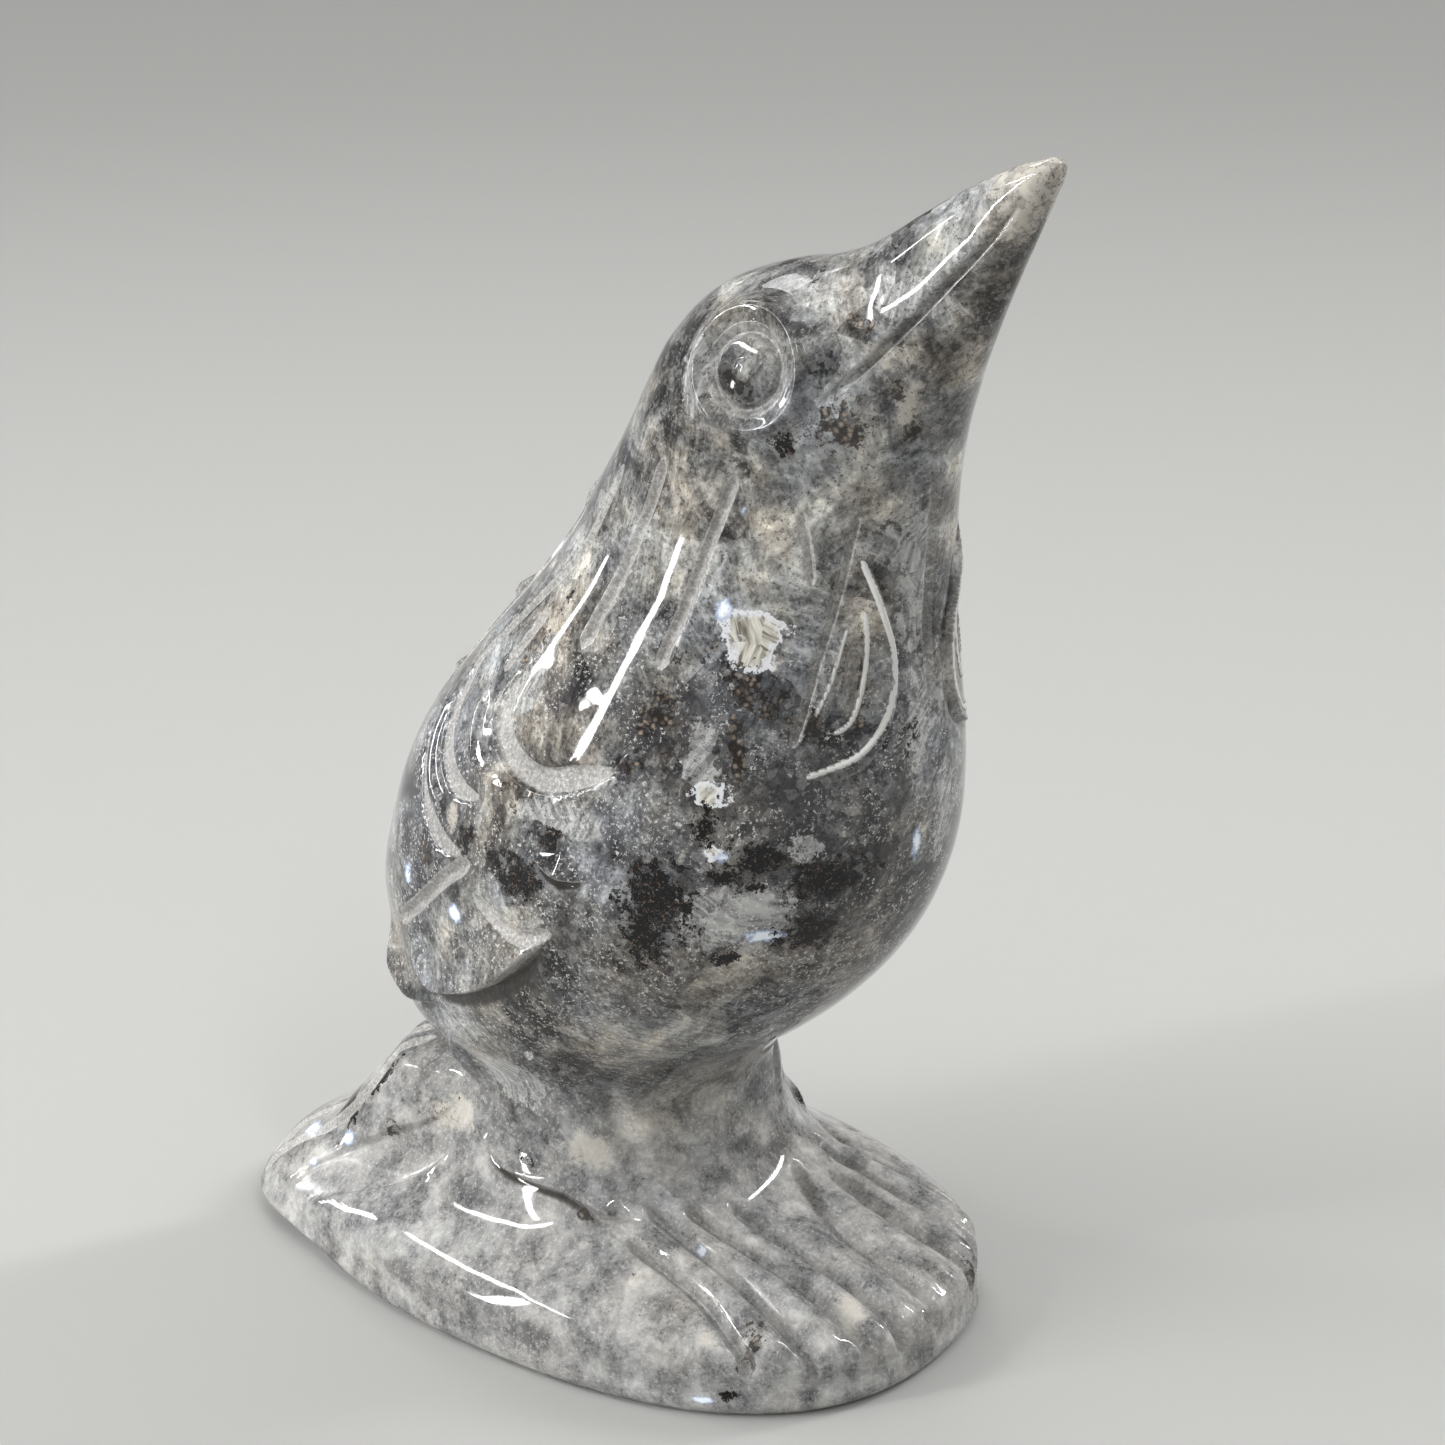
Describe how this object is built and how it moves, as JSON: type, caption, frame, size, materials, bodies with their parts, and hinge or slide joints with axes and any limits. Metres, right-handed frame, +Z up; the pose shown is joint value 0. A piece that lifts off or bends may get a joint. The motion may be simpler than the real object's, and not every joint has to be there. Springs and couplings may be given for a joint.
{
  "type": "stone raven carving",
  "caption": "Small polished stone raven with lifted beak, folded wings and tail, carved in one piece with the oval rock it stands on.",
  "frame": {"origin": "middle of the flat underside of the rock, on the ground", "axes": "+Z up, -Y the way the bird faces, -X its right side"},
  "size_m": [0.0378, 0.0663, 0.0898],
  "materials": {
    "stone": "high polish, carved lines left matte"
  },
  "bodies": {
    "root": {"raven_carving": "stone"}
  },
  "joints": []
}
